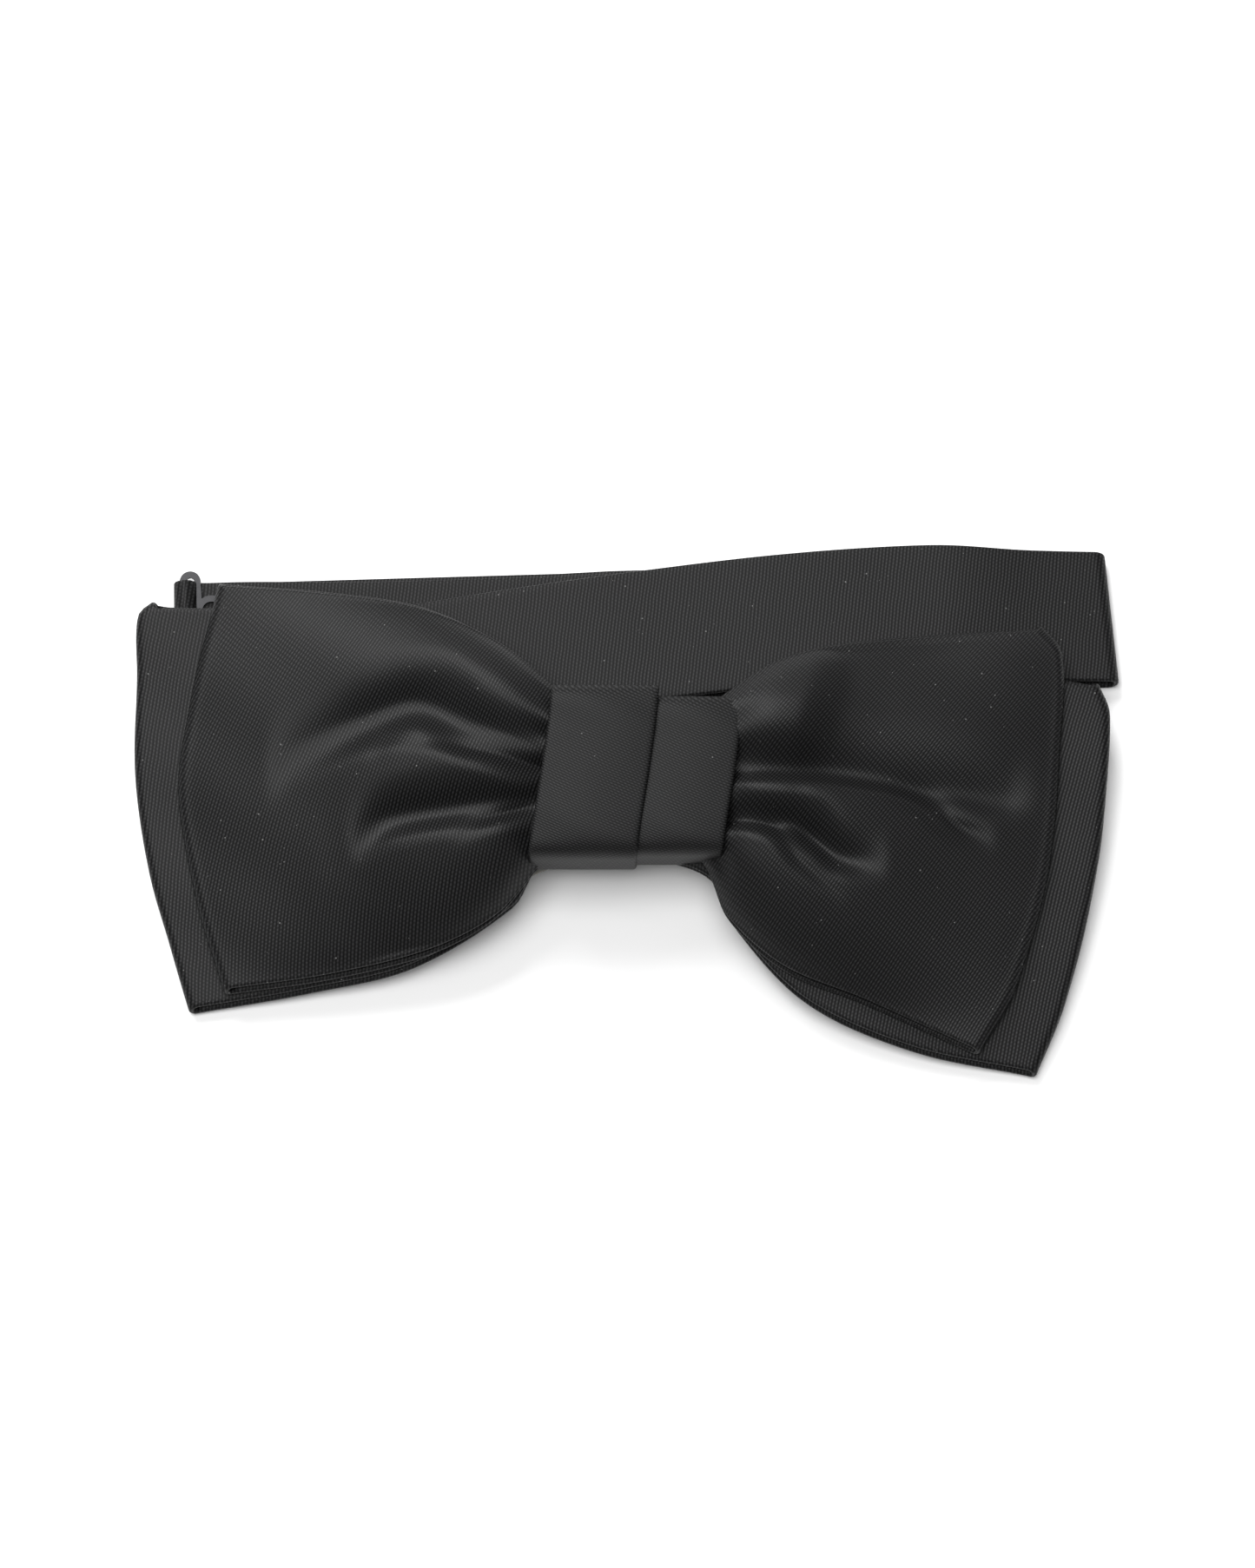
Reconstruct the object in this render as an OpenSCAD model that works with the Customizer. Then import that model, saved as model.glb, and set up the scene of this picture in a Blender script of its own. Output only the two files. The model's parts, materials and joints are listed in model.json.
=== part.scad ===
/* [Bow] */
// Reach of the rear bow's left wing from the centre
rear_left_w = 60.4; // [50:0.1:70]
// Reach of the rear bow's right wing from the centre
rear_right_w = 59.8; // [50:0.1:70]
// Reach of the front bow's left wing from the centre
front_left_w = 54.8; // [45:0.1:60]
// Reach of the front bow's right wing from the centre
front_right_w = 53.4; // [45:0.1:60]
// Thickness of one folded satin wall of a bow
ply = 0.6; // [0.4:0.05:0.7]
// Fullness of the rear bow, wall to wall at the belly of a wing
rear_full = 4.4; // [3:0.1:5]
// Fullness of the front bow, wall to wall at the belly of a wing
front_full = 8.6; // [6:0.1:10]
// Height of the rear bow's middle plane at the gathered waist
waist_z = 9.3; // [9.2:0.1:10]

/* [Knot] */
// Centre of the knot along the width
knot_x = 1.5; // [0:0.1:3]
// Centre of the knot across the width
knot_y = 1.7; // [0:0.1:3]
// Width of the knot's first turn, the one in front
knot_first_w = 11.6; // [8:0.1:12]
// Width of the knot's second turn, tucked beside the first
knot_second_w = 9.6; // [8:0.1:12]
// Height of the knot from its upper to its lower edge
knot_h = 19.8; // [19:0.1:22]
// Thickness of the folded satin of the knot band
knot_wall = 1.3; // [1:0.1:1.4]

/* [Neck strap] */
// Width of the strap
strap_w = 16; // [12:0.5:20]
// Thickness of the folded satin of the strap
strap_t = 0.8; // [0.5:0.1:0.8]
// Place of the strap's fold at the right end
fold_x = 59.2; // [57:0.1:62]
// Height of the fold's axis
fold_z = 1.6; // [1.4:0.1:1.6]
// Length of the lower run of the strap, from the fold to the eye plate's bar
lower_l = 114; // [112:0.5:116]
// Turn of the lower run in plan
lower_turn = 1.7; // [1:0.1:2]
// Turn of the upper run in plan
upper_turn = 3.2; // [2:0.1:4]
// Turn of the short half in plan
short_turn = 9; // [6:0.5:10]
// Reach of the short half from the knot's centre to the hook plate's bar
short_l = 38; // [34:0.5:40]

/* [Slider] */
// Distance of the slider from the fold at rest
slider_d = 33; // [31:0.5:35]
// Width of each bar of the slider
slider_bar = 1.4; // [1:0.1:1.6]
// Outer length of the slider along the strap
slider_l = 12; // [11:0.5:13]
// Thickness of the slider's metal
slider_t = 0.5; // [0.4:0.1:0.6]

/* [Eye plate and hook plate] */
// Thickness of the stamped plates
plate_t = 0.5; // [0.4:0.05:0.6]
// Width of the metal round a window
plate_bar = 0.8; // [0.7:0.05:0.9]
// Width of the window that the strap goes through
strap_window = 1.0; // [0.9:0.05:1.1]
// Lean of the eye plate in plan
eye_lean = 3; // [0:0.5:4]
// Radius of the eye's round inner end
eye_r = 1.1; // [1:0.05:1.2]
// Length of the hook's tongue
tongue_l = 4.6; // [4:0.1:5]

/* [Stitches] */
// Thickness of the sewing thread
thread_d = 0.4; // [0.3:0.05:0.5]

/* [Hidden] */

satin = "#2b2b2d";
lining = "#8d8b84";
metal = "#6a6b6e";
thread = "#1c1c1e";

across = 20;
along = 8;
waist_steps = 5;
waist_u = waist_steps / across;
hollow_from = waist_steps + 1;
wing_rise = 6.6;
gap = 0.3;
waist_half = 7.4;
waist_depth = 3.4;
edge_depth = 1.8;
strap_back_z = 4.1;

// Linear blend of a and b.
function mix(a, b, t) = a + (b - a) * t;
// Smooth step from 0 at a to 1 at b.
function ease(a, b, x) = let (t = min(1, max(0, (x - a) / (b - a)))) t * t * (3 - 2 * t);
// Fraction of the way from the waist to a wing's end; 0 inside the knot.
function flare(u) = ease(waist_u, 0.66, abs(u));

// Lower and upper edge of each bow at u, from -1 at the left end to 1 at the right.
function front_low(u) = mix(knot_y - waist_half, u < 0 ? -23.1 : -30.3 - 4 * (1 - abs(u)), edge_way(u));
function front_high(u) = mix(knot_y + waist_half, u < 0 ? 25.8 : 20.1, edge_way(u));
function rear_low(u) = mix(knot_y - waist_half, u < 0 ? -25.2 : -33.3, edge_way(u));
function rear_high(u) = mix(knot_y + waist_half, u < 0 ? 22.6 : 13 + 5 * (1 - abs(u)), edge_way(u));
// The edges leave the knot at once and flatten towards the wing's end.
function edge_way(u) = pow(max(0, (abs(u) - waist_u) / (1 - waist_u)), 0.6);

// How far a wing's end curves in at v: nothing at v = widest, and the given amounts at its corners.
function corner_in(v, widest, top_in, low_in) = v > widest
    ? top_in * pow((v - widest) / (1 - widest), 2)
    : low_in * pow((widest - v) / widest, 1.6);
// Place along the width at u; the corners' curve dies out towards the knot.
function wing_x(u, reach, inset) = u * reach - sign(u) * inset * pow(abs(u), 3);
function front_x(u, v) = u < 0
    ? wing_x(u, front_left_w, corner_in(v, 0.5, 4.6, 5.8))
    : wing_x(u, front_right_w, corner_in(v, 0.8, 0.9, 9.9));
function rear_x(u, v) = u < 0
    ? wing_x(u, rear_left_w, corner_in(v, 0.62, 1.9, 6.7))
    : wing_x(u, rear_right_w, corner_in(v, 0.9, 0.3, 9.4));

// Middle plane of the rear bow: high at the waist, its lower corners on the surface beneath.
function rear_mid(x, y) =
    let (w = min(1, pow(abs(x) / 50, 2)))
    mix(waist_z, edge_depth / 2 + wing_rise * max(0, (y + 26) / 50), w);
// Half of the rear bow's thickness, and of the front bow's.
function lens(u, v) = pow(max(0, sin(180 * min(1, max(0, v)))), 0.7);
function belly(u) = ease(waist_u, 0.5, abs(u)) * (1 - 0.75 * ease(0.5, 1, abs(u)));
function depth(full, u, v) =
    mix(mix(waist_depth, edge_depth, flare(u)), full, belly(u) * lens(u, v));
// Envelope over the rear bow, on which the front bow lies.
function rear_over(x, y) =
    let (u = abs(x) / rear_left_w)
    rear_mid(x, y) + mix(mix(waist_depth, edge_depth, flare(u)), rear_full, belly(u)) / 2 + 0.1;

// One point of a bow's upper or lower skin; side is 1 or -1, skin is how far inside it lies.
function front_point(u, v, side, skin) =
    let (
        x = front_x(u, v),
        y = mix(front_low(u), front_high(u), v),
        d = depth(front_full, u, v),
        floor_z = rear_over(x, y) + gap
    )
    [x, y, side > 0 ? floor_z + d - skin : floor_z + skin];
function rear_point(u, v, side, skin) =
    let (
        x = rear_x(u, v),
        y = mix(rear_low(u), rear_high(u), v),
        d = depth(rear_full, u, v)
    )
    [x, y, max(0, rear_mid(x, y) - d / 2) + (side > 0 ? d - skin : skin)];
function bow_point(front, u, v, side, skin) =
    front ? front_point(u, v, side, skin) : rear_point(u, v, side, skin);

// Closed solid between the two skins of a bow, over a patch of whole steps of u and v.
module bow_patch(front, i0, i1, j0, j1, skin) {
    n = i1 - i0;
    m = j1 - j0;
    top = [for (i = [i0:i1]) for (j = [j0:j1]) bow_point(front, i / across, j / along, 1, skin)];
    low = [for (i = [i0:i1]) for (j = [j0:j1]) bow_point(front, i / across, j / along, -1, skin)];
    k = m + 1;
    s = (n + 1) * k;
    skins = [for (i = [0:n - 1]) for (j = [0:m - 1])
        let (a = i * k + j, b = a + 1, c = a + k + 1, d = a + k)
        each [[a, b, c], [a, c, d], [s + a, s + c, s + b], [s + a, s + d, s + c]]];
    sides = [for (i = [0:n - 1])
        let (a = i * k, d = a + k, b = a + m, c = d + m)
        each [[s + a, a, d], [s + a, d, s + d], [b, s + b, s + c], [b, s + c, c]]];
    ends = [for (j = [0:m - 1])
        let (a = j, b = j + 1, c = n * k + j, d = c + 1)
        each [[s + b, b, a], [s + b, a, s + a], [s + c, c, d], [s + c, d, s + d]]];
    polyhedron(concat(top, low), concat(skins, sides, ends));
}

// A bow is a folded loop: a wing is open along its two long edges and shut at its end.
module bow_loop(front) {
    difference() {
        bow_patch(front, -across, across, 0, along, 0);
        bow_patch(front, -across + 1, -hollow_from, -1, along + 1, ply);
        bow_patch(front, hollow_from, across - 1, -1, along + 1, ply);
    }
}

// Stiff strip inside one wing.
module interlining(front, side) {
    near = hollow_from + 1;
    far = across - 2;
    bow_patch(front, side < 0 ? -far : near, side < 0 ? -near : far, 1, along - 1, ply + 0.15);
}

module front_bow() {
    color(satin) bow_loop(true);
}

module rear_bow() {
    color(satin) bow_loop(false);
}

module front_interlining_left() {
    color(lining) interlining(true, -1);
}

module front_interlining_right() {
    color(lining) interlining(true, 1);
}

module rear_interlining_left() {
    color(lining) interlining(false, -1);
}

module rear_interlining_right() {
    color(lining) interlining(false, 1);
}

// Rectangle with round corners, w by h, centred.
module round_rect(w, h, r) {
    square([w - 2 * r, h], center = true);
    square([w, h - 2 * r], center = true);
    for (sx = [-1, 1]) for (sy = [-1, 1])
        translate([sx * (w / 2 - r), sy * (h / 2 - r)]) circle(r = r, $fn = 48);
}

// Band round the gathered waist; depth goes along Z, and l is its width along X.
waist_low = waist_z - waist_depth / 2 - 0.1;
waist_high = waist_z + waist_depth * 1.5 + 0.1 + gap + 0.1;
module waist_ring(grow, wall, l) {
    h = 2 * waist_half + 0.4 + 2 * grow;
    d = waist_high - waist_low + 2 * grow;
    translate([0, knot_y, (waist_low + waist_high) / 2])
        rotate([90, 0, 90])
            linear_extrude(l)
                difference() {
                    round_rect(h + 2 * wall, d + 2 * wall, wall + grow + 0.3);
                    round_rect(h, d, grow + 0.2);
                }
}

thread_grow = 0;
lining_grow = thread_d + 0.1;
lining_wall = 0.4;
band_grow = lining_grow + lining_wall;
second_step = 0.4;

// Three turns of thread that pull both bows together.
module gathering_thread() {
    color(thread)
        for (i = [-1:1])
            translate([knot_x + i * 3 - thread_d / 2, 0, 0])
                waist_ring(thread_grow, thread_d, thread_d);
}

module knot_interlining() {
    color(lining)
        translate([knot_x - 9, 0, 0]) waist_ring(lining_grow, lining_wall, 18);
}

// One strip wrapped round, with its second turn tucked lower beside the first.
module knot_band() {
    left = knot_x - (knot_first_w + knot_second_w) / 2;
    h = 2 * waist_half + 0.4 + 2 * band_grow;
    wall = (knot_h - h) / 2;
    color(satin) {
        translate([left, 0, 0]) waist_ring(band_grow, wall, knot_first_w);
        translate([left + knot_first_w, 0, 0])
            waist_ring(band_grow, wall - second_step, knot_second_w);
    }
}

knot_under = waist_low - band_grow - (knot_h - 2 * waist_half - 0.4 - 2 * band_grow) / 2;

// Row of short whip stitches that close the band on the back of the knot.
module knot_closing_stitches() {
    color(thread)
        for (i = [0:5])
            translate([knot_x - 5, knot_y - 6 + i * 1.5, knot_under - thread_d])
                linear_extrude(thread_d)
                    square([2, thread_d]);
}

// Short stitches from the strap up into the back of the knot.
module strap_anchor_stitches() {
    color(thread)
        for (i = [0:4])
            translate([knot_x - 3.6 + i * 1.8, knot_y + 7, strap_back_z + strap_t])
                cylinder(d = thread_d, h = knot_under - strap_back_z - strap_t, $fn = 24);
}

// Strap that follows a side profile of [x, z] points, in its own frame, strap_t thick.
module strap_run(path, w) {
    rotate([90, 0, 0])
        translate([0, 0, -w / 2])
            linear_extrude(w)
                polygon(concat(path, [for (i = [len(path) - 1:-1:0]) path[i] + [0, strap_t]]));
}

strap_mid = [knot_x, 21.2, 0];

// Long half, from behind the knot to the fold at the right.
module strap_upper_run() {
    end_z = fold_z + strap_t;
    run_l = (fold_x - 0.4 - strap_mid[0]) / cos(upper_turn);
    run_flat = 38;
    color(satin)
        translate(strap_mid) rotate([0, 0, upper_turn])
            strap_run([[0, strap_back_z], [run_flat, strap_back_z], [run_l, end_z]], strap_w);
}

short_drop = 1.0;
// Short half, from behind the knot to the hook plate.
module strap_short_half() {
    color(satin)
        translate(strap_mid) rotate([0, 0, short_turn])
            strap_run([[-short_l, strap_back_z - short_drop], [-14, strap_back_z], [-1.4, strap_back_z]], strap_w);
}

module on_short_end() {
    translate(strap_mid) rotate([0, 0, short_turn])
        translate([-short_l, 0, strap_back_z - short_drop]) children();
}

// Fold of strap round a bar that runs along Y at the origin.
module bar_fold(w, inner) {
    rotate([90, 0, 0])
        translate([0, 0, -w / 2])
            linear_extrude(w)
                difference() {
                    circle(r = inner + strap_t * 0.6, $fn = 48);
                    circle(r = inner, $fn = 48);
                    translate([0, -5]) square([10, 10]);
                }
}

hook_bar_r = 0.45;
// End of the short half, folded round the hook plate's bar.
module strap_short_end_loop() {
    color(satin)
        on_short_end() translate([-1.2, 0, 0.4]) bar_fold(strap_w, hook_bar_r + 0.15);
}

// Two rows of stitches across the end of the short half.
module short_end_bar_tack() {
    color(thread)
        on_short_end()
            for (i = [-4:4]) for (r = [0, 1])
                translate([2.4 + r * 1.2, i * 1.6 - 0.5, strap_t + 0.22])
                    linear_extrude(thread_d / 2) square([thread_d, 1.1]);
}

// Flat plate with a long window: outer size l by w, centred.
module window_plate(l, w, win_l, win_w) {
    linear_extrude(plate_t)
        difference() {
            round_rect(l, w, min(l, w) / 2 - 0.01);
            round_rect(win_l, win_w, min(win_l, win_w) / 2 - 0.01);
        }
}

// Hook: a round bar in the strap's fold, a stamped neck and a tongue turned back.
module hook_plate() {
    color(metal)
        on_short_end() translate([-1.2, 0, 0.4]) {
            rotate([90, 0, 0])
                cylinder(r = hook_bar_r, h = strap_w + 1.6, center = true, $fn = 32);
            for (s = [-1, 1])
                translate([-3.4, s * (strap_w / 2 + 0.5) - 0.3, -plate_t / 2])
                    cube([3.4, 0.6, plate_t]);
            translate([-4.2, -(strap_w / 2 + 0.8), -plate_t / 2])
                cube([1, strap_w + 1.6, plate_t]);
            translate([-3.9 - tongue_l, -1.5, -plate_t / 2])
                cube([tongue_l, 3, plate_t]);
            translate([-3.9 - tongue_l, 0, 0])
                rotate([90, 0, 0])
                    linear_extrude(3, center = true)
                        translate([0, plate_t / 2 + 0.3])
                            difference() {
                                circle(r = plate_t + 0.3, $fn = 32);
                                circle(r = 0.3, $fn = 32);
                                translate([0, -4]) square([8, 8]);
                            }
            translate([-3.9 - tongue_l, -1.5, plate_t / 2 + 0.6])
                cube([2.6, 3, plate_t]);
        }
}

fold_y = 23.7;
module on_lower() {
    translate([fold_x, fold_y, 0]) rotate([0, 0, lower_turn]) children();
}

slider_lift = 0.6;
flat_from = -17;
flat_to = -61;
// Lower run: on the surface at both ends, lifted over the slider's bars in between.
module strap_lower_run() {
    color(satin)
        on_lower()
            strap_run([
                [-lower_l, 0], [flat_to - 6, 0], [flat_to, slider_lift],
                [flat_from, slider_lift], [flat_from + 8, 0], [-0.4, 0]
            ], strap_w);
}

loop_mid = strap_t + 0.9;
// End of the lower run, folded up round the eye plate's bar.
module strap_end_loop() {
    color(satin)
        on_lower()
            translate([-lower_l, 0, loop_mid])
                rotate([90, 0, 0])
                    linear_extrude(strap_w, center = true)
                        difference() {
                            circle(r = loop_mid, $fn = 64);
                            circle(r = 0.9, $fn = 64);
                            translate([0, -5]) square([10, 10]);
                        }
}

// Eye plate: a window for the strap and, beside it, a shorter window for the hook.
module eye_plate() {
    outer_w = strap_window + 2 * plate_bar;
    long_l = strap_w + 1.6 + 2 * plate_bar;
    eye_l = 11;
    lean_off = 0.1;
    color(metal)
        on_lower()
            translate([-lower_l + lean_off, 0, loop_mid - plate_t / 2])
                rotate([0, 0, eye_lean])
                    translate([strap_window / 2 + plate_bar / 2, 0, 0]) {
                        window_plate(outer_w, long_l, strap_window, long_l - 2 * plate_bar);
                        translate([outer_w / 2 + eye_r, 0.8, 0])
                            window_plate(2 * eye_r + 2 * plate_bar, eye_l, 2 * eye_r, eye_l - 2 * plate_bar);
                    }
}

bar_high = slider_lift + strap_t + 0.95;
// Slider with three bars: the strap runs over the outer two and under the middle one.
module slider_frame() {
    rail_in = strap_w / 2 + 0.4;
    rail_w = 0.9;
    top_z = bar_high + slider_t;
    half = slider_l / 2;
    color(metal)
        on_lower() translate([-slider_d, 0, 0]) {
            for (s = [-1, 1])
                translate([s < 0 ? -half : half - slider_bar, -rail_in - rail_w, 0])
                    cube([slider_bar, 2 * (rail_in + rail_w), slider_t]);
            translate([-slider_bar / 2, -rail_in - rail_w, bar_high])
                cube([slider_bar, 2 * (rail_in + rail_w), slider_t]);
            for (s = [-1, 1])
                translate([0, s * (rail_in + rail_w / 2), 0])
                    rotate([90, 0, 0])
                        linear_extrude(rail_w, center = true)
                            polygon([
                                [-half, 0], [-half + 1.2, 0], [-1.4, bar_high], [1.4, bar_high],
                                [half - 1.2, 0], [half, 0], [half, slider_t],
                                [1.8, top_z], [-1.8, top_z], [-half, slider_t]
                            ]);
        }
}

return_w = strap_w - 1;
return_l = 40;
// Doubled end of the strap: it comes back over the lower run and wraps the middle bar.
module strap_return() {
    sleeve_t = 0.5;
    z = slider_lift + strap_t + 0.15;
    color(satin)
        on_lower() translate([-slider_d, 0, 0]) {
            translate([0, 0, bar_high + slider_t / 2])
                rotate([90, 0, 0])
                    linear_extrude(return_w, center = true)
                        difference() {
                            round_rect(slider_bar + 2 * sleeve_t + 0.3, slider_t + 2 * sleeve_t + 0.2, 0.6);
                            round_rect(slider_bar + 0.3, slider_t + 0.2, 0.2);
                        }
            rotate([90, 0, 0])
                linear_extrude(return_w, center = true)
                    polygon([
                        [-return_l, z], [-7, z], [-1.1, bar_high - 0.6], [-1.1, bar_high + 0.15],
                        [-7, z + strap_t], [-return_l, z + strap_t]
                    ]);
        }
}

// Row of stitches through the doubled end beside the slider.
module return_bar_tack() {
    z = slider_lift + 2 * strap_t + 0.2;
    color(thread)
        on_lower() translate([-slider_d, 0, 0])
            for (i = [-4:4]) for (r = [0, 1])
                translate([-9.4 - r * 1.2, i * 1.6 - 0.5, z])
                    cube([thread_d, 1.1, thread_d / 2]);
}

front_bow();
front_interlining_left();
front_interlining_right();
rear_bow();
rear_interlining_left();
rear_interlining_right();
gathering_thread();
knot_interlining();
knot_band();
knot_closing_stitches();
strap_upper_run();
strap_short_half();
strap_anchor_stitches();
strap_short_end_loop();
short_end_bar_tack();
hook_plate();
strap_lower_run();
strap_end_loop();
eye_plate();
slider_frame();
strap_return();
return_bar_tack();
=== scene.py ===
import json
import logging
import math
from collections.abc import Callable
from dataclasses import dataclass
from enum import Enum

import bpy
import numpy as np
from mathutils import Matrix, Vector


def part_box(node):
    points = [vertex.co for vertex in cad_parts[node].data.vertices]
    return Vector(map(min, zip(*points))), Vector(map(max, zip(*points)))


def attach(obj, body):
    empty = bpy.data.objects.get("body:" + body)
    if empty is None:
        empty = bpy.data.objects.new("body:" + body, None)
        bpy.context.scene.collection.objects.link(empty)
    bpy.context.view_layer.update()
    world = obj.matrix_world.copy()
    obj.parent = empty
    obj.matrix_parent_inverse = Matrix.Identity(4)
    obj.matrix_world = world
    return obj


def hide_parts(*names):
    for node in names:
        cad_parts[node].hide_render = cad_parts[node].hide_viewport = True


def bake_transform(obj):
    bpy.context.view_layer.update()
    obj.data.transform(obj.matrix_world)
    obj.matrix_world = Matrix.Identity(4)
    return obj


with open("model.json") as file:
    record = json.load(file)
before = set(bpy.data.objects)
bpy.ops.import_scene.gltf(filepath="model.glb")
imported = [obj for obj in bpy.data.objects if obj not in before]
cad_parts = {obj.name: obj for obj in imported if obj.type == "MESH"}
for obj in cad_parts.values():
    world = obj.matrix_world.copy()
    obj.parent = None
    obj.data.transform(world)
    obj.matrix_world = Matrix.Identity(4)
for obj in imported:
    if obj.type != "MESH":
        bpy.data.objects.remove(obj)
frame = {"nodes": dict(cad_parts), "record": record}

log = logging.getLogger("bow_tie")
MM = 0.001
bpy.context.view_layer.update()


# ---------------------------------------------------------------- curves and grids


def ease(low: float, high: float, x: np.ndarray) -> np.ndarray:
    """Smooth step.

    Args:
        low: value of x below which the result is 0.
        high: value of x above which the result is 1.
        x: values to ease.

    Returns:
        3t^2 - 2t^3, where t is how far x is from low to high.
    """
    t = np.clip((np.asarray(x, float) - low) / (high - low), 0.0, 1.0)
    return t * t * (3.0 - 2.0 * t)


def through(knots: list, values: list, x: np.ndarray) -> np.ndarray:
    """Smooth curve through given values: a cubic between each two knots.

    The slope at a knot is that of the chord between its neighbours.

    Args:
        knots: rising places of the values.
        values: one value or one row of values for each knot.
        x: where the curve is wanted.

    Returns:
        The curve's value or row of values at each x.
    """
    k = np.asarray(knots, float)
    p = np.asarray(values, float)
    flat = p.ndim == 1
    p = p.reshape(len(k), -1)
    slope = np.empty_like(p)
    slope[1:-1] = (p[2:] - p[:-2]) / (k[2:] - k[:-2])[:, None]
    slope[0] = (p[1] - p[0]) / (k[1] - k[0])
    slope[-1] = (p[-1] - p[-2]) / (k[-1] - k[-2])
    x = np.clip(np.asarray(x, float), k[0], k[-1])
    i = np.clip(np.searchsorted(k, x, side="right") - 1, 0, len(k) - 2)
    h = k[i + 1] - k[i]
    t = ((x - k[i]) / h)[..., None]
    h = h[..., None]
    a = (1 + 2 * t) * (1 - t) ** 2 * p[i] + t * (1 - t) ** 2 * h * slope[i]
    b = t * t * (3 - 2 * t) * p[i + 1] + t * t * (t - 1) * h * slope[i + 1]
    return (a + b)[..., 0] if flat else a + b


def outline(points: list, t: np.ndarray) -> np.ndarray:
    """Smooth line through points, walked by the length of its chords.

    Args:
        points: the line's points, all of one dimension.
        t: how far along the line, from 0 to 1.

    Returns:
        One point for each t.
    """
    p = np.asarray(points, float)
    step = np.linalg.norm(np.diff(p, axis=0), axis=1)
    knots = np.concatenate([[0.0], np.cumsum(step)]) / step.sum()
    return through(list(knots), p, t)


def unit(vectors: np.ndarray) -> np.ndarray:
    """Vectors scaled to length 1."""
    return vectors / np.maximum(np.linalg.norm(vectors, axis=-1, keepdims=True), 1e-12)


def slope_along(grid: np.ndarray, axis: int, wrap: bool) -> np.ndarray:
    """Difference between the two neighbours of each grid point.

    Args:
        grid: points, rows by columns by 3.
        axis: 0 along the rows, 1 along the columns.
        wrap: whether the grid's first and last line are neighbours.

    Returns:
        The differences, of the grid's own shape.
    """
    if wrap:
        return np.roll(grid, -1, axis) - np.roll(grid, 1, axis)
    return np.gradient(grid, axis=axis)


def soften(grid: np.ndarray, times: int) -> np.ndarray:
    """Grid of heights with each one averaged with its neighbours.

    Args:
        grid: heights.
        times: how often a quarter of each neighbour is mixed with half of the height.

    Returns:
        The softened heights; the border keeps its own.
    """
    for _ in range(times):
        for axis in (0, 1):
            padded = np.concatenate([grid.take([0], axis), grid, grid.take([-1], axis)], axis)
            count = grid.shape[axis]
            before = padded.take(range(count), axis)
            after = padded.take(range(2, count + 2), axis)
            grid = 0.5 * grid + 0.25 * (before + after)
    return grid


def floored(lift: np.ndarray, softness: float) -> np.ndarray:
    """Lift kept at about zero or above, with a round turn at the foot.

    Half of (lift + sqrt(lift^2 + softness)), less what that adds close to zero.

    Args:
        lift: heights, some of them negative.
        softness: square of the width of the round turn.

    Returns:
        The kept heights.
    """
    added = 0.5 * math.sqrt(softness) * (1 - np.tanh(np.abs(lift)))
    return 0.5 * (lift + np.sqrt(lift**2 + softness)) - added


@dataclass(frozen=True)
class Cloth:
    """A finished length of cloth: a surface with a thickness and round edges."""

    middle: np.ndarray
    thickness: float
    wrap: bool = False
    edge_steps: int = 6
    lean: float = 0.0

    def shell(self) -> tuple[np.ndarray, np.ndarray, np.ndarray]:
        """Closed skin round the middle surface.

        Each line across the surface becomes a ring: half the thickness along the
        normal on one side, a half circle round the edge, the other side, and the
        other edge. The rings are joined along the length, and the ends are shut
        by quads between facing points unless the length closes on itself.

        Returns:
            The points in metres, the faces, and one pair of weave coordinates a point.
        """
        grid = self.middle
        along = slope_along(grid, 0, self.wrap)
        over = slope_along(grid, 1, False)
        normal = unit(np.cross(along, over))
        half = self.thickness / 2
        turn = np.linspace(0, math.pi, self.edge_steps + 2)[1:-1]
        far = self.edge(grid[:, -1], normal[:, -1], unit(over[:, -1]), turn)
        near = self.edge(grid[:, 0], -normal[:, 0], -unit(over[:, 0]), turn)
        top = grid + half * normal
        low = (grid - half * normal)[:, ::-1]
        ring = np.concatenate([top, far, low, near], axis=1)
        rows, count = ring.shape[:2]
        number = np.arange(rows * count).reshape(rows, count)
        nxt = np.roll(number, -1, axis=1)
        if self.wrap:
            after, after_nxt = np.roll(number, -1, 0), np.roll(nxt, -1, 0)
            faces = np.stack([number, after, after_nxt, nxt], -1).reshape(-1, 4)
        else:
            faces = np.stack([number[:-1], number[1:], nxt[1:], nxt[:-1]], -1).reshape(-1, 4)
            faces = np.concatenate([faces, self.cap(number[0]), self.cap(number[-1])[:, ::-1]])
        x, y = ring[..., 0], ring[..., 1]
        weave = np.stack([x - self.lean * y, y], -1)
        return ring.reshape(-1, 3) * MM, faces, weave.reshape(-1, 2)

    def edge(self, at: np.ndarray, up: np.ndarray, out: np.ndarray, turn: np.ndarray) -> np.ndarray:
        """Half circle round an edge.

        Args:
            at: the edge's points.
            up: the side where the half circle starts.
            out: away from the cloth.
            turn: angles from that side.

        Returns:
            The half circle's points, a row for each point of the edge.
        """
        up_part = np.cos(turn)[None, :, None] * up[:, None, :]
        out_part = np.sin(turn)[None, :, None] * out[:, None, :]
        return at[:, None, :] + self.thickness / 2 * (up_part + out_part)

    def cap(self, ring: np.ndarray) -> np.ndarray:
        """Quads that shut one end ring.

        The ring is cut at the middle of its two half circles, which needs an even
        number of steps in each, and the two parts are joined point by point.

        Args:
            ring: point numbers round the end.

        Returns:
            Four point numbers for each quad.
        """
        count = self.middle.shape[1] + self.edge_steps
        ring = np.roll(ring, self.edge_steps // 2)
        start, facing = ring[:count], ring[count:][::-1]
        return np.stack([start[:-1], start[1:], facing[1:], facing[:-1]], -1)


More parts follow.
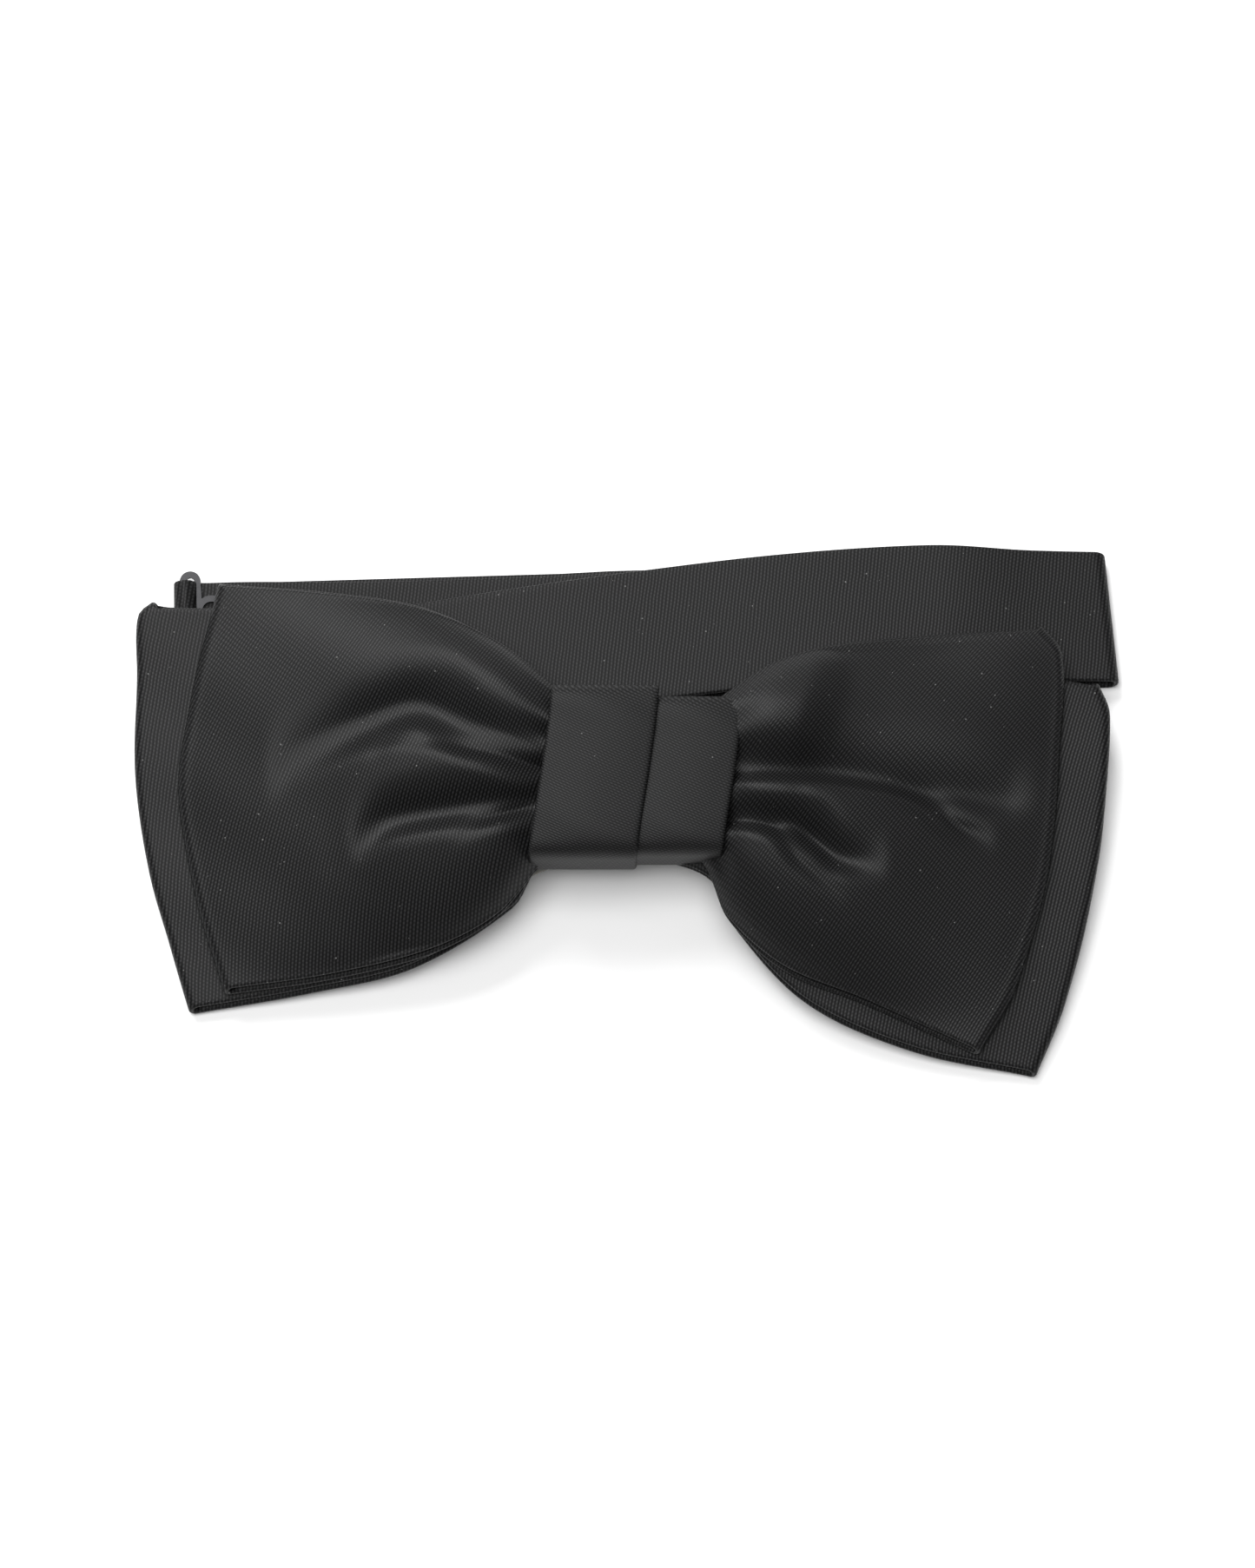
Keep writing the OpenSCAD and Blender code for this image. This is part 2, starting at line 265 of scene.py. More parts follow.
def make_mesh(name: str, points: np.ndarray, faces: np.ndarray, weave: np.ndarray) -> bpy.types.Object:
    """Mesh object from whole arrays.

    Args:
        name: the piece's name.
        points: corner points in metres.
        faces: four corners for each face.
        weave: two weave coordinates in millimetres for each point.

    Returns:
        The object, smooth shaded, in the scene.
    """
    mesh = bpy.data.meshes.new(name)
    mesh.from_pydata(points.tolist(), [], faces.tolist())
    mesh.validate()
    layer = mesh.uv_layers.new(name="weave")
    corner = np.empty(len(mesh.loops), np.int32)
    mesh.loops.foreach_get("vertex_index", corner)
    layer.data.foreach_set("uv", weave[corner].astype(np.float32).ravel())
    mesh.polygons.foreach_set("use_smooth", np.ones(len(mesh.polygons), bool))
    mesh.update()
    piece = bpy.data.objects.new(name, mesh)
    bpy.context.scene.collection.objects.link(piece)
    return piece


def join_shells(shells: list) -> tuple[np.ndarray, np.ndarray, np.ndarray]:
    """Several shells as one set of arrays.

    Args:
        shells: points, faces and weave coordinates of each shell.

    Returns:
        The points, faces and weave coordinates of all of them.
    """
    shift = np.cumsum([0] + [len(s[0]) for s in shells[:-1]])
    points = np.concatenate([s[0] for s in shells])
    faces = np.concatenate([s[1] + n for s, n in zip(shells, shift)])
    weave = np.concatenate([s[2] for s in shells])
    return points, faces, weave


# ---------------------------------------------------------------- node groups


class Socket(Enum):
    """Kinds of group socket."""

    NUMBER = "NodeSocketFloat"
    VECTOR = "NodeSocketVector"
    COLOUR = "NodeSocketColor"


class Graph:
    """Small helper that places and links shader nodes."""

    def __init__(self, tree: bpy.types.NodeTree) -> None:
        """Keep the tree that nodes go into."""
        self.tree = tree

    def node(self, kind: str, **settings) -> bpy.types.Node:
        """New node with its properties set.

        Args:
            kind: the node's type.
            settings: properties by name.

        Returns:
            The node.
        """
        made = self.tree.nodes.new(kind)
        for key, value in settings.items():
            setattr(made, key, value)
        return made

    def feed(self, socket: bpy.types.NodeSocket, source: object) -> None:
        """Link a source socket, or set a constant, on an input.

        Args:
            socket: the input.
            source: an output to link, or the constant.
        """
        if isinstance(source, bpy.types.NodeSocket):
            self.tree.links.new(source, socket)
        else:
            socket.default_value = source

    def math(self, kind: str, a: object, b: object = 0.0, c: object = 0.0) -> bpy.types.NodeSocket:
        """Result of a Math node.

        Args:
            kind: the operation.
            a: first value or socket.
            b: second value or socket.
            c: third value or socket.

        Returns:
            The result's socket.
        """
        made = self.node("ShaderNodeMath", operation=kind)
        for socket, source in zip(made.inputs, (a, b, c)):
            self.feed(socket, source)
        return made.outputs[0]

    def wave(self, turns: object) -> bpy.types.NodeSocket:
        """Sine wave between 0 and 1, one wave for each whole turn."""
        angle = self.math("MULTIPLY", turns, 2 * math.pi)
        return self.math("MULTIPLY_ADD", self.math("SINE", angle), 0.5, 0.5)

    def mix(self, share: object, a: object, b: object) -> bpy.types.NodeSocket:
        """Colour between two colours.

        Args:
            share: 0 for the first colour, 1 for the second.
            a: first colour.
            b: second colour.

        Returns:
            The mixed colour's socket.
        """
        made = self.node("ShaderNodeMix", data_type="RGBA")
        self.feed(made.inputs["Factor"], share)
        self.feed(made.inputs[6], a)
        self.feed(made.inputs[7], b)
        return made.outputs[2]

    def span(
        self, value: object, low: float, high: float, to_low: float, to_high: float
    ) -> bpy.types.NodeSocket:
        """Value carried from one span to another, clamped.

        Args:
            value: the value or its socket.
            low: start of the span that it comes from.
            high: end of that span.
            to_low: start of the span that it goes to.
            to_high: end of that span.

        Returns:
            The result's socket.
        """
        made = self.node("ShaderNodeMapRange")
        for socket, source in zip(made.inputs, (value, low, high, to_low, to_high)):
            self.feed(socket, source)
        return made.outputs[0]

    def noise(self, at: object, scale: float, detail: float = 2.0) -> bpy.types.NodeSocket:
        """Value of a Noise texture.

        Args:
            at: socket of the place.
            scale: the noise's scale.
            detail: its number of octaves.

        Returns:
            The value's socket.
        """
        made = self.node("ShaderNodeTexNoise")
        self.feed(made.inputs["Vector"], at)
        made.inputs["Scale"].default_value = scale
        made.inputs["Detail"].default_value = detail
        return made.outputs[0]

    def group(self, tree: bpy.types.NodeTree, **inputs) -> bpy.types.Node:
        """A group node with its inputs fed.

        Args:
            tree: the group.
            inputs: sources by input name, with an underscore for a space.

        Returns:
            The node.
        """
        made = self.node("ShaderNodeGroup", node_tree=tree)
        for key, source in inputs.items():
            self.feed(made.inputs[key.replace("_", " ")], source)
        return made


def new_group(name: str, inputs: dict, outputs: dict) -> tuple[Graph, dict, bpy.types.Node]:
    """Empty shader group with named sockets.

    Args:
        name: the group's name.
        inputs: socket kind and default for each input's name.
        outputs: socket kind for each output's name.

    Returns:
        The group's graph, its input sockets by name, and its output node.
    """
    tree = bpy.data.node_groups.new(name, "ShaderNodeTree")
    for key, (kind, default) in inputs.items():
        made = tree.interface.new_socket(key, in_out="INPUT", socket_type=kind.value)
        if default is not None:
            made.default_value = default
    for key, kind in outputs.items():
        tree.interface.new_socket(key, in_out="OUTPUT", socket_type=kind.value)
    graph = Graph(tree)
    start = graph.node("NodeGroupInput")
    return graph, {key: start.outputs[key] for key in inputs}, graph.node("NodeGroupOutput")


class Groups:
    """The shader groups that several finishes use."""

    def __init__(self) -> None:
        """Build each group once."""
        self.twill = self.build_twill()
        self.mottle = self.build_mottle()
        self.specks = self.build_specks()

    @staticmethod
    def build_twill() -> bpy.types.NodeTree:
        """Twill weave: ribs along one direction, cut into short floats.

        A rib's height is a sine of the distance across the ribs. A float's height is
        a sine along the rib, moved by a share of a float from each rib to the next.

        Returns:
            The group, whose one output is the weave's height from 0 to 1.
        """
        g, get, out = new_group(
            "TwillWeave",
            {
                "Weave": (Socket.VECTOR, None),
                "Rib Width": (Socket.NUMBER, 0.43),
                "Float Length": (Socket.NUMBER, 0.6),
                "Slant": (Socket.NUMBER, 0.5),
                "Float Share": (Socket.NUMBER, 0.4),
            },
            {"Height": Socket.NUMBER},
        )
        split = g.node("ShaderNodeSeparateXYZ")
        g.feed(split.inputs[0], get["Weave"])
        wobble = g.math("MULTIPLY_ADD", g.noise(get["Weave"], 0.3, 1.0), 0.24, -0.12)
        rib = g.math("DIVIDE", g.math("ADD", split.outputs[0], wobble), get["Rib Width"])
        row = g.math("FLOOR", g.math("ADD", rib, 0.25))
        run = g.math("DIVIDE", split.outputs[1], get["Float Length"])
        shifted = g.math("ADD", run, g.math("MULTIPLY", row, get["Slant"]))
        gap = g.math("SUBTRACT", 1.0, g.wave(shifted))
        cut = g.math("SUBTRACT", 1.0, g.math("MULTIPLY", get["Float Share"], gap))
        g.feed(out.inputs["Height"], g.math("MULTIPLY", g.wave(rib), cut))
        return g.tree

    @staticmethod
    def build_mottle() -> bpy.types.NodeTree:
        """Slow uneven tone of pressed cloth: two noises, one coarse and one fine.

        Returns:
            The group, whose one output is a factor near 1 for a tone.
        """
        g, get, out = new_group(
            "PressedTone",
            {"At": (Socket.VECTOR, None), "Amount": (Socket.NUMBER, 0.2)},
            {"Tone": Socket.NUMBER},
        )
        coarse = g.noise(get["At"], 90.0, 3.0)
        fine = g.noise(get["At"], 700.0, 2.0)
        both = g.math("ADD", g.math("MULTIPLY", coarse, 0.7), g.math("MULTIPLY", fine, 0.3))
        tone = g.math("ADD", 1.0, g.math("MULTIPLY", g.math("SUBTRACT", both, 0.5), get["Amount"]))
        g.feed(out.inputs["Tone"], tone)
        return g.tree

    @staticmethod
    def build_specks() -> bpy.types.NodeTree:
        """Lint: the middles of a few cells of a Voronoi pattern, picked by their colour.

        Returns:
            The group, whose one output is 1 on a speck and 0 elsewhere.
        """
        g, get, out = new_group(
            "Lint",
            {
                "At": (Socket.VECTOR, None),
                "Cells": (Socket.NUMBER, 1900.0),
                "Share": (Socket.NUMBER, 0.06),
                "Size": (Socket.NUMBER, 0.14),
            },
            {"Mask": Socket.NUMBER},
        )
        cells = g.node("ShaderNodeTexVoronoi")
        g.feed(cells.inputs["Vector"], get["At"])
        g.feed(cells.inputs["Scale"], get["Cells"])
        split = g.node("ShaderNodeSeparateColor")
        g.feed(split.inputs[0], cells.outputs["Color"])
        picked = g.math("LESS_THAN", split.outputs[0], get["Share"])
        size = g.math("MULTIPLY", get["Size"], g.math("ADD", 0.4, split.outputs[1]))
        near = g.math("LESS_THAN", cells.outputs["Distance"], size)
        g.feed(out.inputs["Mask"], g.math("MULTIPLY", picked, near))
        return g.tree


# ---------------------------------------------------------------- finishes


class Slot(Enum):
    """The record's material slots."""

    SATIN = "satin"
    KNOT_SATIN = "knot_satin"
    STRAP_SATIN = "strap_satin"
    INTERLINING = "interlining"
    THREAD = "thread"
    GUNMETAL = "gunmetal"


@dataclass(frozen=True)
class SatinFinish:
    """Dark twill satin: ribs and floats, coloured lighter on the floats as painted sheen and darker between
    them as painted shade, uneven tone, lint, a broad weak shine.
    """

    name: str
    # dark is the colour between the floats, darkened as painted shade; light is the floats' colour,
    # lightened as painted sheen.
    dark: tuple = (0.0015, 0.0015, 0.0016, 1.0)
    light: tuple = (0.028, 0.028, 0.0287, 1.0)
    lint: tuple = (0.12, 0.12, 0.118, 1.0)
    rib_width: float = 0.43
    float_length: float = 0.46
    slant: float = 0.5
    float_share: float = 0.6
    bump: float = 0.3
    roughness: float = 0.38
    specular: float = 0.16
    tone: float = 0.35
    lint_share: float = 0.035

    def build(self, groups: Groups) -> bpy.types.Material:
        """Material with the weave on the piece's own weave map; the weave's colour is painted sheen on the
        floats and painted shade between them.

        Args:
            groups: the shared shader groups.

        Returns:
            The material.
        """
        material = bpy.data.materials.new(self.name)
        material.use_nodes = True
        g = Graph(material.node_tree)
        shader = material.node_tree.nodes["Principled BSDF"]
        weave_map = g.node("ShaderNodeUVMap", uv_map="weave").outputs[0]
        place = g.node("ShaderNodeTexCoord").outputs["Object"]
        twill = g.group(
            groups.twill,
            Weave=weave_map,
            Rib_Width=self.rib_width,
            Float_Length=self.float_length,
            Slant=self.slant,
            Float_Share=self.float_share,
        )
        tone = g.group(groups.mottle, At=place, Amount=self.tone).outputs["Tone"]
        # Painted sheen and shade: the weave's height times the uneven tone carries the colour from the
        # painted shade between floats to the painted sheen on them.
        painted_sheen_share = g.math("MULTIPLY", twill.outputs["Height"], tone)
        cloth = g.mix(painted_sheen_share, self.dark, self.light)
        speck = g.group(groups.specks, At=place, Share=self.lint_share).outputs["Mask"]
        g.feed(shader.inputs["Base Color"], g.mix(speck, cloth, self.lint))
        between_ribs = self.roughness + 0.12
        rough = g.span(twill.outputs["Height"], 0.0, 1.0, between_ribs, self.roughness)
        g.feed(shader.inputs["Roughness"], rough)
        shader.inputs["Specular IOR Level"].default_value = self.specular
        bump = g.node("ShaderNodeBump")
        bump.inputs["Strength"].default_value = self.bump
        bump.inputs["Distance"].default_value = 0.12 * MM
        g.feed(bump.inputs["Height"], twill.outputs["Height"])
        g.feed(shader.inputs["Normal"], bump.outputs[0])
        return material


@dataclass(frozen=True)
class PlainFinish:
    """Thread, lining or metal: a tone broken by fine noise, with its own bump."""

    name: str
    dark: tuple
    light: tuple
    roughness: float
    metallic: float = 0.0
    grain: float = 1500.0
    bump: float = 0.2

    def build(self, groups: Groups) -> bpy.types.Material:
        """Material on object coordinates.

        Args:
            groups: the shared shader groups.

        Returns:
            The material.
        """
        material = bpy.data.materials.new(self.name)
        material.use_nodes = True
        g = Graph(material.node_tree)
        shader = material.node_tree.nodes["Principled BSDF"]
        place = g.node("ShaderNodeTexCoord").outputs["Object"]
        grain = g.noise(place, self.grain, 4.0)
        tone = g.group(groups.mottle, At=place, Amount=0.5).outputs["Tone"]
        g.feed(shader.inputs["Base Color"], g.mix(g.math("MULTIPLY", grain, tone), self.dark, self.light))
        smooth, coarse = self.roughness - 0.08, self.roughness + 0.1
        g.feed(shader.inputs["Roughness"], g.span(grain, 0.3, 0.7, smooth, coarse))
        shader.inputs["Metallic"].default_value = self.metallic
        bump = g.node("ShaderNodeBump")
        bump.inputs["Strength"].default_value = self.bump
        bump.inputs["Distance"].default_value = 0.05 * MM
        g.feed(bump.inputs["Height"], grain)
        g.feed(shader.inputs["Normal"], bump.outputs[0])
        return material


class Finishes:
    """Every material of the object, by its record slot."""

    def __init__(self) -> None:
        """Build the groups and the materials."""
        groups = Groups()
        self.by_slot = {
            # Each satin's light colour is painted sheen on the floats, and its dark colour is painted shade
            # between them.
            Slot.SATIN: SatinFinish("wing_satin").build(groups),
            Slot.KNOT_SATIN: SatinFinish(
                "knot_satin",
                rib_width=0.34,
                float_length=0.5,
                slant=0.34,
                bump=0.25,
                roughness=0.46,
                light=(0.026, 0.026, 0.0266, 1.0),
            ).build(groups),
            Slot.STRAP_SATIN: SatinFinish(
                "strap_satin", roughness=0.44, light=(0.026, 0.026, 0.0266, 1.0)
            ).build(groups),
            Slot.INTERLINING: PlainFinish(
                "woven_interlining", (0.16, 0.155, 0.14, 1.0), (0.36, 0.35, 0.32, 1.0), 0.85
            ).build(groups),
            Slot.THREAD: PlainFinish(
                "sewing_thread", (0.006, 0.006, 0.007, 1.0), (0.03, 0.03, 0.032, 1.0), 0.6
            ).build(groups),
            Slot.GUNMETAL: PlainFinish(
                "gunmetal", (0.022, 0.022, 0.023, 1.0), (0.05, 0.05, 0.052, 1.0), 0.42, 1.0, 900.0, 0.1
            ).build(groups),
        }

    def dress(self, piece: bpy.types.Object, slot: Slot) -> None:
        """Args:
            piece: the piece.
            slot: the record's slot.
        """
        material = self.by_slot[slot]
        if piece.data.materials:
            for i in range(len(piece.data.materials)):
                piece.data.materials[i] = material
        else:
            piece.data.materials.append(material)


# ---------------------------------------------------------------- bows


@dataclass(frozen=True)
class Fold:
    """A crease in a wing: a valley whose two banks fall off over their own widths.

    A line holds points (way out from the knot, height in the bow's box, depth in mm).
    With q the distance over the bank's width, the upper bank is (1 - q)^2, steepest at
    the bottom, and the lower bank is (1 - q^2)^2, which starts level. An upright fold's
    upper bank is the one at its right.
    """

    line: tuple
    upper_bank: float
    lower_bank: float
    crisp: float = 0.14
    turn: float = 0.3
    upright: bool = False

    def height(self, x: np.ndarray, y: np.ndarray, place: Callable) -> np.ndarray:
        """How far the fold lifts the cloth.

        The line is a graph over x, or over y when it is upright, and the distance to it
        is the gap along the other axis times the cosine of the line's slope.

        Args:
            x: places along the width, in mm.
            y: places across the width, in mm.
            place: turns a line's fractions into mm.

        Returns:
            The lift at each place, negative in a valley.
        """
        line = np.asarray(self.line, float)
        spots = place(line[:, :2])
        along, over = x, y
        knots, values = spots[:, 0], spots[:, 1]
        if self.upright:
            along, over = over, along
            knots, values = values, knots
        order = np.argsort(knots)
        table = np.stack([values[order], line[order, 2]], -1)
        at = through(list(knots[order]), table, along)
        step = 0.2
        ahead = through(list(knots[order]), table, along + step)
        slope = (ahead[..., 0] - at[..., 0]) / step
        signed = (over - at[..., 0]) / np.sqrt(1 + slope**2)
        upper = 0.5 + 0.5 * np.tanh(signed / self.turn)
        bank = self.lower_bank + (self.upper_bank - self.lower_bank) * upper
        q = np.clip(np.sqrt((signed / bank) ** 2 + self.crisp**2) - self.crisp, 0.0, 1.0)
        steep = (1.0 - q) ** 2
        easy = (1.0 - q**2) ** 2
        return -np.maximum(at[..., 1], 0) * (upper * steep + (1.0 - upper) * easy)


@dataclass(frozen=True)
class Wing:
    """One wing of a bow: its edges as fractions of the bow's box, and its heights."""

    side: int
    top: tuple
    low: tuple
    end: tuple
    folds: tuple = ()
    slant_top: float = 0.5
    slant_low: float = 0.5


@dataclass(frozen=True)
class BowShape:
    """Heights of a bow, in mm above the surface it lies on, from the knot to the end."""

    name: str
    node: str
    way: tuple
    top_edge: tuple
    low_edge: tuple
    puff: tuple
    back_puff: tuple
    left: Wing
    right: Wing
    edge_gap: float = 1.4
    crown_power: float = 3.2
    softness: float = 0.3
    thickness: float = 0.75
    floor: float = 0.42
    steps_out: int = 120
    steps_back: int = 50
    steps_over: int = 120
    flat: tuple = (0.05, 0.22)
    gathers: float = 0.35


class Bow:
    """A bow: one closed strip of satin, folded into a loop and gathered at the knot."""

    def __init__(self, shape: BowShape, finishes: Finishes) -> None:
        """Keep the shape and read the bow's box."""
        self.shape = shape
        self.finishes = finishes
        low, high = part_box(shape.node)
        self.low = np.array(low) / MM
        self.high = np.array(high) / MM
        knot_low, knot_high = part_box("knot_band")
        self.knot_x = (knot_low[0] + knot_high[0]) / 2 / MM

    def place(self, wing: Wing, fractions: np.ndarray) -> np.ndarray:
        """Places from fractions.

        Args:
            wing: the wing.
            fractions: ways out from the knot, and heights in the bow's box.

        Returns:
            The places in mm.
        """
        reach = (self.high[0] if wing.side > 0 else self.low[0]) - self.knot_x
        x = self.knot_x + reach * fractions[..., 0]
        y = self.low[1] + (self.high[1] - self.low[1]) * fractions[..., 1]
        return np.stack([x, y], -1)

    def plan(self, wing: Wing, u: np.ndarray, v: np.ndarray, inset: float) -> np.ndarray:
        """Places of a wing's cloth seen from the front: a patch between its four edges.

        The two long edges are joined across, the knot's line and the end line are joined
        along, and the straight patch between the four corners is taken off once.

        Args:
            wing: the wing.
            u: way out from the knot, 0 to 1.
            v: way up, 0 to 1.
            inset: how far the end line is drawn in, in mm.

        Returns:
            Places in mm, len(u) by len(v) by 2.
        """
        low = outline(wing.low, u)[:, None]
        top = outline(wing.top, u)[:, None]
        start = outline((wing.low[0], wing.top[0]), v)[None]
        end = outline(wing.end, v)[None]
        uu, vv = u[:, None, None], v[None, :, None]
        ruled = (1 - vv) * low + vv * top + (1 - uu) * start + uu * end
        near, far = ((1 - vv) * low[i] + vv * top[i] for i in (0, -1))
        corners = (1 - uu) * near + uu * far
        spots = self.place(wing, ruled - corners)
        spots[..., 0] -= wing.side * inset * u[:, None] ** 2
        return spots

    def edge_plane(self, u: np.ndarray, v: np.ndarray) -> np.ndarray:
        """Height of the straight line between the two long edges.

        Args:
            u: way out from the knot, 0 to 1.
            v: way up, 0 to 1.

        Returns:
            Heights in mm, len(u) by len(v).
        """
        s = self.shape
        top = through(s.way, s.top_edge, u)[:, None]
        low = through(s.way, s.low_edge, u)[:, None]
        return low + (top - low) * v[None, :]

    def front_ply(self, wing: Wing, u: np.ndarray, v: np.ndarray) -> np.ndarray:
        """Middle surface of a wing's front ply.

        Its height is the plane between the edges, a crown 1 - |2v - 1|^power that grows
        and dies along the wing, the folds, and small gathers by the knot.

        Args:
            wing: the wing.
            u: way out from the knot, 0 to 1.
            v: way up, 0 to 1.

        Returns:
            Points in mm, len(u) by len(v) by 3.
        """
        s = self.shape
        spots = self.plan(wing, u, v, s.edge_gap / 2 + s.thickness / 2)
        crown = 1 - np.abs(2 * v - 1) ** s.crown_power
        lift = through(s.way, s.puff, u)[:, None] * crown[None, :]
        fade = (1 - ease(0.9, 1.0, u))[:, None]
        for fold in wing.folds:
            lift = lift + fade * fold.height(spots[..., 0], spots[..., 1], lambda f: self.place(wing, f))
        z = self.edge_plane(u, v) + soften(floored(lift, s.softness), 2)
        by_knot = np.exp(-np.maximum(u - 0.2, 0) / 0.07)[:, None]
        z = z + s.gathers * by_knot * np.sin(2 * math.pi * (5.5 * v + 0.13 * wing.side))[None, :]
        slow = np.sin(spots[..., 0] * 0.31 + spots[..., 1] * 0.17) * np.sin(spots[..., 1] * 0.29 - 0.4)
        return np.concatenate([spots, (z + 0.10 * slow)[..., None]], -1)

    def back_ply(self, wing: Wing, u: np.ndarray, v: np.ndarray) -> np.ndarray:
        """Middle surface of a wing's back ply, a gap below the edges' plane.

        Args:
            wing: the wing.
            u: way out from the knot, 0 to 1.
            v: way up, 0 to 1.

        Returns:
            Points in mm, len(u) by len(v) by 3.
        """
        s = self.shape
        spots = self.plan(wing, u, v, s.edge_gap / 2 + s.thickness / 2)
        spread = 0.5 * ease(0.2, 0.6, u)[:, None] * (2 * v - 1)[None, :]
        spots[..., 1] += spread
        crown = np.sin(math.pi * np.clip(v, 0, 1)) ** 0.75
        z = self.edge_plane(u, v) - s.edge_gap - through(s.way, s.back_puff, u)[:, None] * crown[None, :]
        return np.concatenate([spots, np.maximum(z, s.floor)[..., None]], -1)

    def end_fold(self, front: np.ndarray, back: np.ndarray, side: int, steps: int = 9) -> np.ndarray:
        """Half circle of cloth between the ends of the front and the back ply.

        Args:
            front: last line of the front ply.
            back: last line of the back ply.
            side: 1 at the right end, -1 at the left.
            steps: lines in the fold.

        Returns:
            Lines from the front ply to the back ply.
        """
        turn = np.linspace(0, math.pi, steps + 2)[1:-1][:, None, None]
        middle, arm = (front + back) / 2, (front - back) / 2
        along = np.gradient(front, axis=0)
        out = unit(np.stack([along[:, 1], -along[:, 0], 0 * along[:, 0]], -1))
        out = out * np.sign(out[:, :1] * side + 1e-9)
        reach = np.linalg.norm(arm, axis=-1, keepdims=True)
        return middle + np.cos(turn) * arm + np.sin(turn) * reach * out

    def strip(self) -> np.ndarray:
        """The whole loop's middle surface, from the knot round both wings and back.

        Lines across lie closer together at the edges than in the middle.

        Returns:
            Points in mm, along the loop by across by 3.
        """
        s = self.shape
        out = np.linspace(0, 1, s.steps_out) ** 0.9
        back = np.linspace(0, 1, s.steps_back)
        v = 0.5 - 0.5 * np.cos(math.pi * np.linspace(0, 1, s.steps_over))
        v = 0.5 * v + 0.5 * np.linspace(0, 1, s.steps_over)
        right_front = self.front_ply(s.right, out, v)
        right_back = self.back_ply(s.right, back, v)
        left_front = self.front_ply(s.left, out, v)
        left_back = self.back_ply(s.left, back, v)
        right_fold = self.end_fold(right_front[-1], right_back[-1], 1)
        left_fold = self.end_fold(left_front[-1], left_back[-1], -1)
        return np.concatenate([
            right_front, right_fold, right_back[:0:-1], left_back[:-1],
            left_fold[::-1], left_front[:0:-1],
        ])

    def weave_map(self, points: np.ndarray) -> np.ndarray:
        """Weave coordinates: ribs lean by each wing's own slant, which changes up the wing.

        The rib coordinate is x less the running sum of the slant over y.

        Args:
            points: the bow's points in metres.

        Returns:
            A pair of weave coordinates in mm for each point.
        """
        x, y = points[:, 0] / MM, points[:, 1] / MM
        span = self.high[1] - self.low[1]
        way = (y - self.low[1]) / span
        lean = np.zeros_like(x)
        for wing in (self.shape.left, self.shape.right):
            share = ease(-6, 6, (x - self.knot_x) * wing.side)
            summed = wing.slant_low * way + (wing.slant_top - wing.slant_low) * way**2 / 2
            lean = lean + share * summed * span
        return np.stack([x - lean, y], -1)

    def build(self) -> bpy.types.Object:
        """Returns:
            The piece.
        """
        s = self.shape
        points, faces, _ = Cloth(self.strip(), s.thickness, wrap=True).shell()
        piece = make_mesh(s.name, points, faces, self.weave_map(points))
        self.finishes.dress(piece, Slot.SATIN)
        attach(piece, "bow")
        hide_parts(s.node)
        return piece

    def lining(self, wing: Wing, node: str, name: str) -> bpy.types.Object:
        """Interlining between the two plies of one wing, on the back ply.

        Args:
            wing: the wing.
            node: the CAD node that it stands for.
            name: the piece's name.

        Returns:
            The piece.
        """
        u = np.linspace(0.36, 0.88, 40)
        v = np.linspace(0.12, 0.88, 36)
        middle = self.back_ply(wing, u, v) + [0, 0, self.shape.thickness / 2 + 0.22]
        points, faces, weave = Cloth(middle, 0.3, edge_steps=2).shell()
        piece = make_mesh(name, points, faces, weave)
        self.finishes.dress(piece, Slot.INTERLINING)
        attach(piece, "bow")
        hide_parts(node)
        return piece


LEFT_FOLDS = (
    Fold(
        line=(
            (0.17, 0.60, 2.4), (0.34, 0.67, 3.4), (0.47, 0.73, 3.8),
            (0.59, 0.70, 3.0), (0.73, 0.64, 1.3), (0.80, 0.60, 0.0),
        ),
        upper_bank=6.0,
        lower_bank=5.0,
    ),
    Fold(
        line=((0.18, 0.58, 0.7), (0.34, 0.61, 0.9), (0.53, 0.64, 0.5), (0.58, 0.61, 0.0)),
        upper_bank=1.5,
        lower_bank=1.5,
    ),
    Fold(
        line=((0.16, 0.52, 2.2), (0.37, 0.50, 3.0), (0.53, 0.48, 2.6), (0.62, 0.44, 0.0)),
        upper_bank=4.8,
        lower_bank=3.6,
    ),
    Fold(line=((0.21, 0.50, 0.4), (0.31, 0.47, 0.9), (0.40, 0.43, 0.0)), upper_bank=1.4, lower_bank=1.6),
    Fold(
        line=((0.40, 0.25, 0.0), (0.55, 0.30, 0.6), (0.70, 0.38, 0.0)),
        upper_bank=6.0,
        lower_bank=6.0,
        crisp=0.5,
    ),
)
RIGHT_FOLDS = (
    Fold(
        line=((0.16, 0.58, 2.6), (0.42, 0.58, 4.4), (0.62, 0.56, 3.0), (0.83, 0.53, 1.3), (0.94, 0.54, 0.2)),
        upper_bank=7.4,
        lower_bank=2.6,
    ),
    Fold(
        line=((0.55, 0.86, 0.6), (0.53, 0.75, 1.4), (0.50, 0.66, 1.5), (0.47, 0.56, 0.0)),
        upper_bank=15.0,
        lower_bank=5.0,
        crisp=0.4,
        upright=True,
    ),
    Fold(
        line=((0.58, 0.55, 0.4), (0.67, 0.52, 1.2), (0.75, 0.47, 1.4), (0.84, 0.44, 0.0)),
        upper_bank=2.4,
        lower_bank=2.0,
    ),
    Fold(
        line=((0.16, 0.49, 2.4), (0.35, 0.46, 3.2), (0.41, 0.43, 3.4), (0.48, 0.39, 2.2), (0.58, 0.38, 0.0)),
        upper_bank=4.6,
        lower_bank=2.6,
    ),
    Fold(
        line=((0.25, 0.46, 0.5), (0.32, 0.44, 1.0), (0.38, 0.38, 0.9), (0.49, 0.31, 0.0)),
        upper_bank=1.4,
        lower_bank=1.7,
    ),
)

